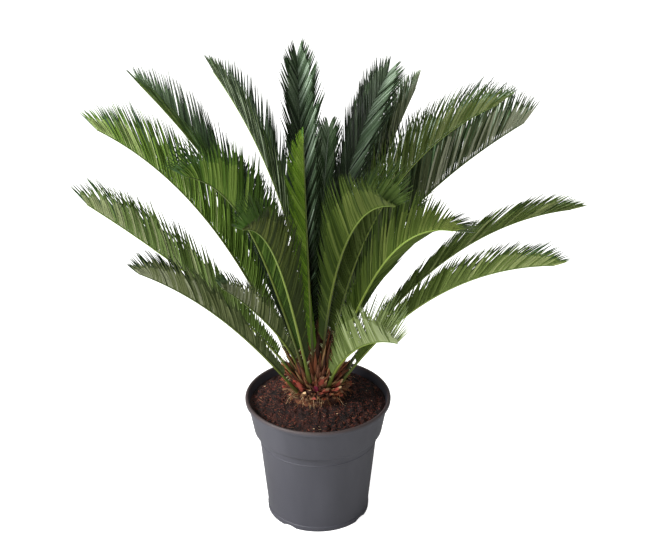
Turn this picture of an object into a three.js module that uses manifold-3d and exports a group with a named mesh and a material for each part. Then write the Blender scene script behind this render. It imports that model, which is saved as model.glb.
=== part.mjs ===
import * as THREE from "three";
import { mergeVertices } from "three/addons/utils/BufferGeometryUtils.js";
import Module from "manifold-3d";

const wasm = await Module();
wasm.setup();

// A sago palm in a nursery pot. Sizes are in millimetres, +Z is up, +X is right and +Y is away
// from the viewer. The origin is the centre of the pot's flat underside.

const pot = {
  height: 170,
  lipRadius: 95,
  lipHeight: 7,
  bandTopRadius: 91.5,
  bandFootRadius: 84,
  bandHeight: 50,
  bodyTopRadius: 78,
  footRadius: 66.5,
  footProud: 0.8,
  footHeight: 7,
  wall: 1.8,
  floor: 4,
  sides: 40,
};

const drainNotch = {
  count: 4,
  heading: 236,
  width: 18,
  height: 2.5,
  depth: 7,
  sides: 32,
};

const soil = {
  clearance: 0.3,
  belowRim: 12,
  top: 172,
  topRadius: 44,
};

const trunk = {
  centreX: -2,
  centreY: 2,
  centreZ: 180,
  radius: 36,
  footRadius: 39,
  sides: 24,
  domeSteps: 6,
  frondClearance: 0.3,
};

// Stubs of old leaves stand round the trunk's flank in a spiral.
const leafBase = {
  count: 46,
  turn: 137.5,
  lowest: -8,
  highest: 44,
  length: 10,
  sunk: 5,
  rootRadius: 7,
  endRadius: 4,
  flatness: 0.7,
  rise: 40,
  frondSpacing: 11,
};

const frond = {
  footSpacing: 10.5,
  footSpread: 2,
  highestFoot: 74,
  footSunk: 10,
  arcSpread: 1.6,
  highestArc: 88,
  arcSteps: 40,
  leafletReachPastRib: 20,
  petioleShare: 0.16,
  petioleSteps: 3,
  halfWidthAtFoot: 4.6,
  halfWidthAtBlade: 2.1,
  halfWidthAtTip: 1,
  depthAtFoot: 6.4,
  depthAtBlade: 3.6,
  depthAtTip: 1.6,
};

// Leaflets lean forward along the rib and are raised from the plane of the frond, so that the
// blade is a trough. They are longest from the first third of the blade to past its middle.
const leaflet = {
  spacing: 19,
  length: 96,
  fullSizeRib: 420,
  shareAtBase: 0.42,
  longestFrom: 0.3,
  longestTo: 0.6,
  shareAtTip: 0.26,
  leanAtBase: 60,
  leanAtMiddle: 31,
  leanAtTip: 36,
  raiseAtBase: 58,
  raiseAtTip: 36,
  droop: 0.03,
  widthShare: 0.8,
  widestAt: 0.62,
  thickness: 1.2,
  sizesTried: [1, 0.85, 0.7],
  gap: 0.6,
  testStep: 2.5,
};

// Each frond has the heading it leaves in (0 is +X, 90 is away from the viewer), its angles above
// level at the foot and at the tip, how late it bends from one to the other (over 1 is late), and
// its length with the last leaflets. The roll turns its face about the rib. Fold and lean, in
// degrees, and size change its leaflets from the usual.
const fronds = [
  // the front
  { heading: 262, foot: 73, tip: 83, bend: 1, length: 372, roll: 74, fold: 0, lean: -12, size: 0.85 },
  { heading: 290, foot: 76, tip: 13, bend: 1.65, length: 444, roll: 10, fold: 12, lean: -4, size: 1.05 },
  { heading: 308, foot: 65, tip: 3, bend: 3, length: 396, roll: -44, fold: -4, lean: -4, size: 1.05 },
  { heading: 250, foot: 65.5, tip: 8, bend: 3.7, length: 386, roll: -15, fold: 14, lean: -8, size: 1.05 },
  { heading: 230, foot: 69, tip: 13, bend: 3.8, length: 420, roll: 3, fold: 18, lean: -4, size: 1.16 },
  { heading: 300, foot: 60, tip: 15, bend: 0.95, length: 236, roll: 2, fold: 20, lean: 22, size: 1.5 },
  { heading: 222, foot: 69, tip: 40, bend: 0.6, length: 231, roll: 0, fold: 10, lean: 3, size: 1.1 },
  { heading: 227, foot: 51, tip: 33, bend: 1.7, length: 376, roll: -5, fold: 24, lean: -8, size: 0.97 },
  // the left side
  { heading: 203, foot: 64, tip: 41, bend: 0.35, length: 404, roll: 15, fold: 6, lean: 2, size: 1.06 },
  { heading: 180, foot: 66, tip: 24.5, bend: 2.1, length: 434, roll: 20, fold: 12, lean: 3, size: 1.06 },
  { heading: 158, foot: 85, tip: 39.5, bend: 0.55, length: 444, roll: 5, fold: 0, lean: -3, size: 0.93 },
  // the right side
  { heading: 334, foot: 55.5, tip: 8.5, bend: 1.55, length: 384, roll: -18, fold: 12, lean: -3, size: 0.87 },
  { heading: 5, foot: 57, tip: 0, bend: 1.6, length: 397, roll: -30, fold: 0, lean: -10, size: 0.88 },
  { heading: 12, foot: 87, tip: 27, bend: 0.58, length: 437, roll: -8, fold: 30, lean: 8, size: 1.2 },
  { heading: 348, foot: 79, tip: 24, bend: 1.8, length: 460, roll: -12, fold: 0, lean: 0, size: 1.03 },
  // the back
  { heading: 135, foot: 86, tip: 34, bend: 1.12, length: 425, roll: 28, fold: 7, lean: -5, size: 0.92 },
  { heading: 116, foot: 82, tip: 86, bend: 1, length: 420, roll: -16, fold: 9, lean: -6, size: 0.96 },
  { heading: 98, foot: 62, tip: 80, bend: 1, length: 345, roll: 0, fold: 16, lean: -8, size: 0.85 },
  { heading: 58, foot: 82, tip: 30, bend: 1.7, length: 412, roll: 33, fold: 7, lean: -3, size: 0.9 },
  { heading: 50, foot: 76, tip: 48, bend: 0.7, length: 394, roll: -35, fold: 12, lean: -8, size: 1.03 },
  { heading: 70, foot: 70, tip: 42, bend: 0.8, length: 405, roll: -32, fold: 0, lean: -12, size: 0.82 },
  { heading: 32, foot: 72, tip: 48, bend: 1, length: 354, roll: 33, fold: -16, lean: 7, size: 1.1 },
  { heading: 85, foot: 74, tip: 26, bend: 1.4, length: 336, roll: 2, fold: 9, lean: -5, size: 0.9 },
  { heading: 141, foot: 78, tip: 50, bend: 0.8, length: 300, roll: -10, fold: -13, lean: 14, size: 0.64 },
  { heading: 92, foot: 50, tip: 22, bend: 1.3, length: 350, roll: 0, fold: 0, lean: 0, size: 1 },
  { heading: 122, foot: 50, tip: 22, bend: 1.3, length: 290, roll: 0, fold: 0, lean: 0, size: 1 },
  { heading: 62, foot: 50, tip: 22, bend: 1.3, length: 290, roll: 0, fold: 0, lean: 0, size: 1 },
];

const finishes = {
  pot: new THREE.MeshStandardMaterial({ color: 0x5c5d66, roughness: 0.6, metalness: 0 }),
  soil: new THREE.MeshStandardMaterial({ color: 0x3a2420, roughness: 0.95, metalness: 0 }),
  trunk: new THREE.MeshStandardMaterial({ color: 0x7d4a2c, roughness: 0.85, metalness: 0 }),
  frond: new THREE.MeshStandardMaterial({ color: 0x2e5220, roughness: 0.45, metalness: 0 }),
};

const radians = THREE.MathUtils.degToRad;
const mix = THREE.MathUtils.lerp;
const trunkCentre = new THREE.Vector3(trunk.centreX, trunk.centreY, trunk.centreZ);

// Unit vector from a heading and an angle above level, both in degrees.
function direction(heading, above) {
  const level = Math.cos(radians(above));
  return new THREE.Vector3(
    level * Math.cos(radians(heading)),
    level * Math.sin(radians(heading)),
    Math.sin(radians(above)),
  );
}

function toSolid(geometry) {
  const bare = geometry.clone();
  bare.deleteAttribute("normal");
  bare.deleteAttribute("uv");
  const merged = mergeVertices(bare, 1e-4);
  const corners = merged.index.array;
  const kept = [];
  for (let i = 0; i < corners.length; i += 3) {
    const [a, b, c] = corners.slice(i, i + 3);
    if (a !== b && b !== c && c !== a) {
      kept.push(a, b, c);
    }
  }
  const vertProperties = new Float32Array(merged.attributes.position.array);
  const triVerts = new Uint32Array(kept);
  return new wasm.Manifold(new wasm.Mesh({ numProp: 3, vertProperties, triVerts }));
}

function toMesh(name, solid, finish) {
  const { vertProperties, triVerts } = solid.getMesh();
  const geometry = new THREE.BufferGeometry();
  geometry.setAttribute("position", new THREE.BufferAttribute(new Float32Array(vertProperties), 3));
  geometry.setIndex(new THREE.BufferAttribute(new Uint32Array(triVerts), 1));
  geometry.computeVertexNormals();
  const mesh = new THREE.Mesh(geometry, finish);
  mesh.name = name;
  return mesh;
}

// A turned shape about the vertical, from radius and height pairs that run from axis to axis.
function turned(profile, sides) {
  const points = profile.map(([radius, height]) => new THREE.Vector2(radius, height));
  return new THREE.LatheGeometry(points, sides).rotateX(Math.PI / 2);
}

// The pot's outside runs up from the foot over a shoulder to the band and the rolled lip.
function potOutside() {
  const shoulder = pot.height - pot.bandHeight;
  const lipFoot = pot.height - pot.lipHeight;
  return [
    [pot.footRadius - 1, 0],
    [pot.footRadius + pot.footProud, 1.2],
    [pot.footRadius + pot.footProud + 0.4, pot.footHeight - 1],
    [pot.footRadius + 0.6, pot.footHeight],
    [pot.bodyTopRadius, shoulder - 5],
    [pot.bandFootRadius - 1, shoulder],
    [pot.bandFootRadius, shoulder + 2],
    [pot.bandTopRadius, lipFoot],
    [pot.lipRadius - 0.5, lipFoot + 1],
    [pot.lipRadius, pot.height - 3],
    [pot.lipRadius - 1.2, pot.height - 0.6],
    [pot.lipRadius - 2.6, pot.height],
  ];
}

// The pot's inside, from the lip down to the floor, kept off the wall by the given clearance.
function potInside(clearance) {
  const shoulder = pot.height - pot.bandHeight;
  const inset = pot.wall + clearance;
  return [
    [pot.bandTopRadius - inset, pot.height - pot.lipHeight],
    [pot.bandFootRadius - inset, shoulder + 2],
    [pot.bodyTopRadius - inset, shoulder - 4],
    [pot.footRadius + 0.6 - inset, pot.floor + clearance],
  ];
}

function makePot() {
  const mouth = [pot.lipRadius - 4, pot.height - 0.8];
  const profile = [[0, 0], ...potOutside(), mouth, ...potInside(0), [0, pot.floor]];
  let solid = toSolid(turned(profile, pot.sides));
  const arch = (drainNotch.width ** 2 / 4 + drainNotch.height ** 2) / (2 * drainNotch.height);
  const cutLength = 2 * drainNotch.depth;
  for (let i = 0; i < drainNotch.count; i++) {
    const cut = new THREE.CylinderGeometry(arch, arch, cutLength, drainNotch.sides);
    cut.rotateZ(Math.PI / 2);
    cut.translate(pot.footRadius + 1, 0, drainNotch.height - arch);
    cut.rotateZ(radians(drainNotch.heading + (i * 360) / drainNotch.count));
    solid = solid.subtract(toSolid(cut));
  }
  return solid;
}

// The soil fills the pot and rises in a low mound to the trunk's foot.
function makeSoil() {
  const edge = pot.height - soil.belowRim;
  const [lip, band, body, foot] = potInside(soil.clearance);
  const share = (edge - band[1]) / (lip[1] - band[1]);
  const edgeRadius = mix(band[0], lip[0], share);
  const profile = [
    [0, foot[1]],
    foot,
    body,
    band,
    [edgeRadius, edge],
    [edgeRadius - 8, edge + 2],
    [mix(edgeRadius, soil.topRadius, 0.45), edge + 8],
    [soil.topRadius + 12, soil.top - 1.5],
    [soil.topRadius, soil.top],
    [0, soil.top],
  ];
  return toSolid(turned(profile, pot.sides));
}

// The trunk without its stubs, from the flat cut on the soil to its rounded top.
function trunkCore(grow) {
  const radius = trunk.radius + grow;
  const profile = [
    [0, soil.top - grow],
    [trunk.footRadius + grow, soil.top - grow],
    [radius, trunk.centreZ],
  ];
  for (let i = 1; i <= trunk.domeSteps; i++) {
    const above = (i / trunk.domeSteps) * (Math.PI / 2);
    const out = i < trunk.domeSteps ? radius * Math.cos(above) : 0;
    profile.push([out, trunk.centreZ + radius * Math.sin(above)]);
  }
  return toSolid(turned(profile, trunk.sides).translate(trunk.centreX, trunk.centreY, 0));
}

function makeTrunk(ribs) {
  let solid = trunkCore(0);
  for (let i = 0; i < leafBase.count; i++) {
    const above = mix(leafBase.highest, leafBase.lowest, Math.sqrt(i / leafBase.count));
    const heading = i * leafBase.turn;
    const seat = direction(heading, above).multiplyScalar(trunk.radius).add(trunkCentre);
    const way = direction(heading, above + leafBase.rise);
    const end = seat.clone().addScaledVector(way, leafBase.length);
    if (ribs.every((rib) => rib.clearOf(seat, end, leafBase.frondSpacing))) {
      solid = solid.add(leafBaseSolid(seat, way));
    }
  }
  const belowSoil = new THREE.BoxGeometry(200, 200, 40).translate(0, 0, soil.top - 20);
  return solid.subtract(toSolid(belowSoil));
}

function leafBaseSolid(seat, way) {
  const height = leafBase.length + leafBase.sunk;
  const stub = new THREE.CylinderGeometry(leafBase.endRadius, leafBase.rootRadius, height, 4);
  stub.scale(1, 1, leafBase.flatness);
  stub.translate(0, height / 2 - leafBase.sunk, 0);
  const across = new THREE.Vector3(-way.y, way.x, 0).normalize();
  const under = across.clone().cross(way);
  stub.applyMatrix4(new THREE.Matrix4().makeBasis(across, way, under));
  stub.translate(seat.x, seat.y, seat.z);
  return toSolid(stub);
}

// A place on the trunk's rounded top for a frond. Steeper fronds sit nearer its middle.
function onDome(row, spread, highest) {
  const above = 90 - (90 - row.foot) * spread;
  return direction(row.heading, Math.min(above, highest)).multiplyScalar(trunk.radius);
}

// The feet of the fronds, where those that would touch are pushed apart.
function placeFeet(rows) {
  const feet = rows.map((row) => onDome(row, frond.footSpread, frond.highestFoot));
  const rounds = 80;
  for (let round = 0; round < rounds; round++) {
    feet.forEach((a, i) => {
      feet.slice(i + 1).forEach((b) => {
        const apart = a.clone().sub(b);
        const short = frond.footSpacing - apart.length();
        if (short > 0) {
          apart.setLength(short / 2);
          a.add(apart).setLength(trunk.radius);
          b.sub(apart).setLength(trunk.radius);
        }
      });
    });
  }
  return feet.map((foot) => foot.add(trunkCentre));
}

// A rib bends in an upright plane. It starts at its foot and eases over to the arc that its
// heading and angles give.
class Rib {
  constructor(row, foot) {
    this.row = row;
    this.length = row.length - frond.leafletReachPastRib;
    this.fullness = Math.min(1, this.length / leaflet.fullSizeRib);
    this.arc = [onDome(row, frond.arcSpread, frond.highestArc).add(trunkCentre)];
    for (let i = 0; i < frond.arcSteps; i++) {
      const way = direction(row.heading, this.angle((i + 0.5) / frond.arcSteps));
      this.arc.push(this.arc[i].clone().addScaledVector(way, this.length / frond.arcSteps));
    }
    this.shift = foot.clone().sub(this.arc[0]);
  }

  // Degrees above level at a share of the rib's length.
  angle(share) {
    const { foot, tip, bend, length } = this.row;
    return foot + (tip - foot) * ((Math.max(share, 0) * this.length) / length) ** bend;
  }

  frame(share) {
    const { heading, roll } = this.row;
    const angle = this.angle(share);
    const along = direction(heading, angle);
    const step = Math.min(Math.max(Math.floor(share * frond.arcSteps), 0), frond.arcSteps - 1);
    const at = this.arc[step].clone();
    at.addScaledVector(along, (share - step / frond.arcSteps) * this.length);
    at.addScaledVector(this.shift, (1 - Math.max(share, 0)) ** 2);
    const face = direction(heading, angle + 90);
    face.applyAxisAngle(along, radians(roll) * THREE.MathUtils.smoothstep(share, 0, 0.5));
    const side = along.clone().cross(face);
    return { at, along, face, side };
  }

  // The three corners of the rib's section: the ridge of its face and its left and right edges.
  section(share) {
    const { at, face, side } = this.frame(share);
    const { petioleShare } = frond;
    const onBlade = (share - petioleShare) / (1 - petioleShare);
    const onPetiole = Math.max(share, 0) / petioleShare;
    const wide = onBlade > 0
      ? mix(frond.halfWidthAtBlade, frond.halfWidthAtTip, onBlade)
      : mix(frond.halfWidthAtFoot, frond.halfWidthAtBlade, onPetiole);
    const deep = onBlade > 0
      ? mix(frond.depthAtBlade, frond.depthAtTip, onBlade)
      : mix(frond.depthAtFoot, frond.depthAtBlade, onPetiole);
    const under = at.clone().addScaledVector(face, -deep / 2);
    return {
      ridge: at.clone().addScaledVector(face, deep / 2),
      left: under.clone().addScaledVector(side, -wide),
      right: under.clone().addScaledVector(side, wide),
    };
  }

  clearOf(from, to, distance) {
    for (let i = 0; i <= 12; i++) {
      const { at } = this.frame((i / 12) * 0.3);
      const nearest = new THREE.Line3(from, to).closestPointToPoint(at, true, new THREE.Vector3());
      if (nearest.distanceTo(at) < distance) {
        return false;
      }
    }
    return true;
  }
}

// The length of a leaflet at a share of the blade.
function leafletLength(t) {
  const grown = THREE.MathUtils.smoothstep(t, 0, leaflet.longestFrom);
  const past = Math.max(0, (t - leaflet.longestTo) / (1 - leaflet.longestTo));
  return leaflet.length * mix(leaflet.shareAtBase, 1, grown) * mix(1, leaflet.shareAtTip, past ** 2);
}

// How far a leaflet leans out from the rib at a share of the blade, in degrees.
function leafletLean(t) {
  const { leanAtBase, leanAtMiddle, leanAtTip } = leaflet;
  return t < 0.5 ? mix(leanAtBase, leanAtMiddle, 2 * t) : mix(leanAtMiddle, leanAtTip, 2 * t - 1);
}

// One leaflet of the blade, from the rib between two shares of its length. Its outline is
// the pair of root points, the two edges at its widest place, and the tip.
function leafletShape(rib, from, to, hand, size) {
  const middle = (from + to) / 2;
  const t = (middle - frond.petioleShare) / (1 - frond.petioleShare);
  const { at, along, face, side } = rib.frame(middle);
  const lean = radians(leafletLean(t) + rib.row.lean);
  const raise = radians(mix(leaflet.raiseAtBase, leaflet.raiseAtTip, t) + rib.row.fold);
  const way = along.clone().multiplyScalar(Math.cos(lean));
  way.addScaledVector(side, hand * Math.sin(lean) * Math.cos(raise));
  way.addScaledVector(face, Math.sin(lean) * Math.sin(raise));
  const across = along.clone().addScaledVector(way, -along.dot(way)).normalize();
  const under = across.clone().cross(way).multiplyScalar(hand);
  const length = leafletLength(t) * rib.fullness * rib.row.size * size;
  const pitch = (to - from) * rib.length;
  const halfWidth = 0.5 * leaflet.widthShare * pitch * Math.sin(lean);
  const widest = at.clone().addScaledVector(way, length * leaflet.widestAt);
  return {
    back: widest.clone().addScaledVector(across, -halfWidth),
    front: widest.clone().addScaledVector(across, halfWidth),
    keel: widest.clone().addScaledVector(under, leaflet.thickness),
    tip: at.clone().addScaledVector(way, length).addScaledVector(under, leaflet.droop * length),
  };
}

// A thin blade kept for the spacing test: flat triangles, points along its outline and half
// of its thickness.
function bladeTest(corners, faces, pad) {
  const triangles = faces.map((face) => new THREE.Triangle(...face.map((i) => corners[i])));
  const points = [];
  triangles.forEach(({ a, b, c }) => {
    [[a, b], [b, c], [c, a]].forEach(([from, to]) => {
      const steps = Math.ceil(from.distanceTo(to) / leaflet.testStep);
      for (let i = 0; i < steps; i++) {
        points.push(from.clone().lerp(to, i / steps));
      }
    });
  });
  const ball = new THREE.Sphere().setFromPoints(corners);
  return { triangles, points, pad, ball };
}

function bladesClear(one, other) {
  const need = one.pad + other.pad + leaflet.gap;
  if (one.ball.center.distanceTo(other.ball.center) > one.ball.radius + other.ball.radius + need) {
    return true;
  }
  const reach = need + leaflet.testStep / 2;
  const nearest = new THREE.Vector3();
  const touches = (points, blade) => points.some((point) => {
    if (point.distanceTo(blade.ball.center) > blade.ball.radius + reach) {
      return false;
    }
    return blade.triangles.some((triangle) => {
      triangle.closestPointToPoint(point, nearest);
      return nearest.distanceTo(point) < reach;
    });
  });
  return !touches(one.points, other) && !touches(other.points, one);
}

function ribTests(rib, shares) {
  return shares.slice(1).map((share, i) => {
    const near = rib.section(shares[i]);
    const far = rib.section(share);
    const corners = [near.left, near.right, far.left, far.right, near.ridge, far.ridge];
    return bladeTest(corners, [[0, 1, 3], [0, 3, 2], [4, 5, 0], [5, 2, 0]], 0.5);
  });
}

// The shares of the rib's length at which its sections stand: the foot, which is sunk in the
// trunk, the petiole, and one for each end of a leaflet's root.
function ribShares(rib) {
  const { petioleShare, petioleSteps } = frond;
  const shares = [-frond.footSunk / rib.length];
  for (let i = 0; i < petioleSteps; i++) {
    shares.push((petioleShare * i) / petioleSteps);
  }
  const spacing = leaflet.spacing * Math.sqrt(rib.fullness);
  const pairs = Math.round(((1 - petioleShare) * rib.length) / spacing);
  for (let i = 0; i <= pairs; i++) {
    shares.push(mix(petioleShare, 1, i / pairs));
  }
  return shares;
}

// A leaflet that would touch another frond is tried shorter, and then left out.
function chooseLeaflets(ribs) {
  const placed = ribs.map((rib) => ribTests(rib, ribShares(rib)));
  return ribs.map((rib, own) => {
    const shares = ribShares(rib);
    const chosen = shares.map(() => ({}));
    const others = placed.filter((_, i) => i !== own);
    for (let i = frond.petioleSteps + 1; i < shares.length - 1; i++) {
      for (const hand of [-1, 1]) {
        const edge = hand < 0 ? "left" : "right";
        const near = rib.section(shares[i]);
        const far = rib.section(shares[i + 1]);
        for (const size of leaflet.sizesTried) {
          const shape = leafletShape(rib, shares[i], shares[i + 1], hand, size);
          const blade = [near.ridge, far.ridge, shape.back, shape.front, shape.tip];
          const corners = [...blade, near[edge], far[edge], shape.keel];
          const faces = [[0, 1, 3], [0, 3, 2], [2, 3, 4], [5, 6, 7]];
          const test = bladeTest(corners, faces, leaflet.thickness / 2);
          if (others.every((blades) => blades.every((other) => bladesClear(test, other)))) {
            chosen[i][edge] = shape;
            placed[own].push(test);
            break;
          }
        }
      }
    }
    return chosen;
  });
}

// A frond is one closed mesh. Its rib has a three-sided section, and each leaflet grows out
// of the rib's side face.
function makeFrond(rib, leaflets) {
  const shares = ribShares(rib);
  const sections = shares.map((share) => rib.section(share));
  const corners = [];
  const face = (...points) => {
    for (let i = 2; i < points.length; i++) {
      corners.push(points[0], points[i - 1], points[i]);
    }
  };
  const last = sections.length - 1;
  const end = rib.frame(1);
  const point = end.at.clone().addScaledVector(end.along, 8);
  face(sections[0].left, sections[0].right, sections[0].ridge);
  face(sections[last].right, sections[last].left, point);
  face(sections[last].ridge, sections[last].right, point);
  face(sections[last].left, sections[last].ridge, point);
  for (let i = 0; i < last; i++) {
    const near = sections[i];
    const far = sections[i + 1];
    const { left, right } = leaflets[i];
    face(near.left, far.left, far.right, near.right);
    if (left) {
      face(near.ridge, far.ridge, left.front, left.back);
      face(far.ridge, far.left, left.keel, left.front);
      face(far.left, near.left, left.keel);
      face(near.left, near.ridge, left.back, left.keel);
      face(left.back, left.front, left.tip);
      face(left.front, left.keel, left.tip);
      face(left.keel, left.back, left.tip);
    } else {
      face(near.ridge, far.ridge, far.left, near.left);
    }
    if (right) {
      face(far.ridge, near.ridge, right.back, right.front);
      face(near.ridge, near.right, right.keel, right.back);
      face(near.right, far.right, right.keel);
      face(far.right, far.ridge, right.front, right.keel);
      face(right.front, right.back, right.tip);
      face(right.back, right.keel, right.tip);
      face(right.keel, right.front, right.tip);
    } else {
      face(far.ridge, near.ridge, near.right, far.right);
    }
  }
  const geometry = new THREE.BufferGeometry().setFromPoints(corners);
  return toSolid(geometry).subtract(trunkCore(trunk.frondClearance));
}

const plant = new THREE.Group();
const feet = placeFeet(fronds);
const ribs = fronds.map((row, i) => new Rib(row, feet[i]));
const leaflets = chooseLeaflets(ribs);

plant.add(toMesh("pot", makePot(), finishes.pot));
plant.add(toMesh("soil", makeSoil(), finishes.soil));
plant.add(toMesh("trunk", makeTrunk(ribs), finishes.trunk));
ribs.forEach((rib, i) => {
  const name = `frond_${String(i + 1).padStart(2, "0")}`;
  plant.add(toMesh(name, makeFrond(rib, leaflets[i]), finishes.frond));
});

export default plant;
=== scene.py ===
import math
import bpy
import numpy as np
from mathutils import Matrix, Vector


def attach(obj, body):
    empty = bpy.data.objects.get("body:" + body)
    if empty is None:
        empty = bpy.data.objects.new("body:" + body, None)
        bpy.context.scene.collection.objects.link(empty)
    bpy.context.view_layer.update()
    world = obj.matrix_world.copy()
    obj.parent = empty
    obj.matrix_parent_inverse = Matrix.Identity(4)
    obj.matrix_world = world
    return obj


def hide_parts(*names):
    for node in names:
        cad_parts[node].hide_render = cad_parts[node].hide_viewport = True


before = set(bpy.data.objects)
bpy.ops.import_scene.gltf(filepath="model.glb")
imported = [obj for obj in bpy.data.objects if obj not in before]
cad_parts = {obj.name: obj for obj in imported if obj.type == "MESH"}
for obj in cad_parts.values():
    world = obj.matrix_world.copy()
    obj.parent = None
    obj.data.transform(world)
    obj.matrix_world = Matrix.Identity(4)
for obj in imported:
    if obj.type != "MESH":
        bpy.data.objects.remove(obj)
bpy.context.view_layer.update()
print("frame loaded with", len(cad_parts), "nodes")

# The plant is worked out in millimetres, as it was measured, and each mesh is stored in metres.
mm = 0.001


def linear(hexColour):
    shares = [int(hexColour[i:i + 2], 16) / 255 for i in (1, 3, 5)]
    return [s / 12.92 if s <= 0.04045 else ((s + 0.055) / 1.055) ** 2.4 for s in shares] + [1]


def mix(a, b, share):
    return a + (b - a) * share


def smoothStep(x, low, high):
    t = np.clip((x - low) / (high - low), 0, 1)
    return t * t * (3 - 2 * t)


def unit(v):
    return v / np.linalg.norm(v, axis=-1, keepdims=True)


def direction(heading, above):      # heading 0 is +X and 90 is away from the viewer, in degrees
    heading, above = np.broadcast_arrays(np.radians(heading), np.radians(above))
    level = np.cos(above)
    return np.stack([level * np.cos(heading), level * np.sin(heading), np.sin(above)], axis=-1)


def addNode(tree, kind, inputs=None, **settings):
    made = tree.nodes.new(kind)
    for key, value in settings.items():
        setattr(made, key, value)
    for key, value in (inputs or {}).items():
        if isinstance(value, bpy.types.NodeSocket):
            tree.links.new(value, made.inputs[key])
        else:
            made.inputs[key].default_value = value
    return made


def addMath(tree, operation, a, b):
    return addNode(tree, "ShaderNodeMath", {0: a, 1: b}, operation=operation).outputs["Value"]


def addNoise(tree, place, scale, **more):
    return addNode(tree, "ShaderNodeTexNoise",
                   {"Vector": place, "Scale": scale, **more}).outputs["Fac"]


def mixColours(tree, share, a, b, blend="MIX"):
    return addNode(tree, "ShaderNodeMix", {"Factor": share, 6: a, 7: b}, data_type="RGBA",
                   blend_type=blend).outputs[2]


def addBump(tree, shader, height, strength, distance):
    made = addNode(tree, "ShaderNodeBump",
                   {"Height": height, "Strength": strength, "Distance": distance})
    tree.links.new(made.outputs["Normal"], shader.inputs["Normal"])


def ownPlace(tree):
    return addNode(tree, "ShaderNodeTexCoord").outputs["Object"]


def ownValue(tree, name):
    return addNode(tree, "ShaderNodeAttribute", attribute_name=name).outputs["Fac"]


def newMaterial(name, **constants):
    material = bpy.data.materials.new(name)
    material.use_nodes = True
    shader = material.node_tree.nodes["Principled BSDF"]
    for key, value in constants.items():
        shader.inputs[key.replace("_", " ")].default_value = value
    return material, material.node_tree, shader


def plainSkin(name, colour, roughness, **constants):
    skin, _, shader = newMaterial(name, Roughness=roughness, IOR=1.45, **constants)
    shader.inputs["Base Color"].default_value = linear(colour)
    return skin


def putInScene(name, data):
    made = bpy.data.objects.new(name, data)
    bpy.context.scene.collection.objects.link(made)
    return made


def addRamp(tree, factor, stops):   # stops are pairs of a position and a hex colour
    made = addNode(tree, "ShaderNodeValToRGB", {"Fac": factor})
    elements = made.color_ramp.elements
    while len(elements) < len(stops):
        elements.new(0.5)
    for element, (position, colour) in zip(elements, stops):
        element.position = position
        element.color = linear(colour)
    return made.outputs["Color"]


class Batch:
    # Gathers the points and faces of many small shapes for one mesh.
    def __init__(self):
        self.points, self.faces, self.which, self.count = [], [], [], 0

    def add(self, points, faceGroups, material=0):
        points = np.asarray(points, float).reshape(-1, 3)
        for faces in faceGroups:
            self.faces.append(faces + self.count)
            self.which.append(np.broadcast_to(material, len(faces)))
        self.points.append(points)
        self.count += len(points)


def makeMesh(name, batch, materials, sharpAbove=None):
    mesh = bpy.data.meshes.new(name)
    points = np.concatenate(batch.points) * mm
    corners = np.concatenate([faces.ravel() for faces in batch.faces])
    sizes = np.concatenate([np.full(len(faces), faces.shape[1]) for faces in batch.faces])
    mesh.vertices.add(len(points))
    mesh.vertices.foreach_set("co", points.ravel())
    mesh.loops.add(len(corners))
    mesh.loops.foreach_set("vertex_index", corners)
    mesh.polygons.add(len(sizes))
    mesh.polygons.foreach_set("loop_start", np.concatenate([[0], np.cumsum(sizes)[:-1]]))
    mesh.update(calc_edges=True)
    for material in materials:
        mesh.materials.append(material)
    mesh.polygons.foreach_set("material_index", np.concatenate(batch.which).astype(np.int32))
    mesh.polygons.foreach_set("use_smooth", np.ones(len(sizes), bool))
    if sharpAbove is not None:
        mesh.set_sharp_from_angle(angle=math.radians(sharpAbove))
    mesh.validate()
    return putInScene(name, mesh)


def finishPiece(piece, slotName, *nodes):
    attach(piece, "root")
    if nodes:
        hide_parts(*nodes)


def fullTurn(count):
    return np.linspace(0, 2 * np.pi, count, endpoint=False)


def levelRing(out, up, turn):
    return np.stack([out * np.cos(turn), out * np.sin(turn), up + 0 * turn], axis=-1)


def ringFaces(rings, around):       # a skin over rings of points, capped at both ends
    i, j = np.meshgrid(np.arange(rings - 1), np.arange(around), indexing="ij")
    side, low, high = (j + 1) % around, i * around, (i + 1) * around
    quads = np.stack([low + j, low + side, high + side, high + j], axis=-1)
    cap = np.arange(around).reshape(1, -1)
    return [quads.reshape(-1, 4), cap[:, ::-1], cap + (rings - 1) * around]


# Every frond's rib, by the rule of the solids. Its leaflets start a little further down its stalk.
trunk = {"centre": np.array([-2.0, 2.0, 180.0]), "radius": 36, "footRadius": 39, "ground": 172}

frondRule = {
    "footSpacing": 10.5, "footSpread": 2, "highestFoot": 74, "footSunk": 10, "rounds": 80,
    "arcSpread": 1.6, "highestArc": 88, "arcSteps": 40, "leafletReachPastRib": 20,
    "petioleShare": 0.12, "fullSizeRib": 420,
    "halfWidthAtFoot": 4.5, "halfWidthAtBlade": 1.8, "halfWidthAtTip": 0.7,
    "depthAtFoot": 6.2, "depthAtBlade": 3.4, "depthAtTip": 1.1,
}

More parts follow.
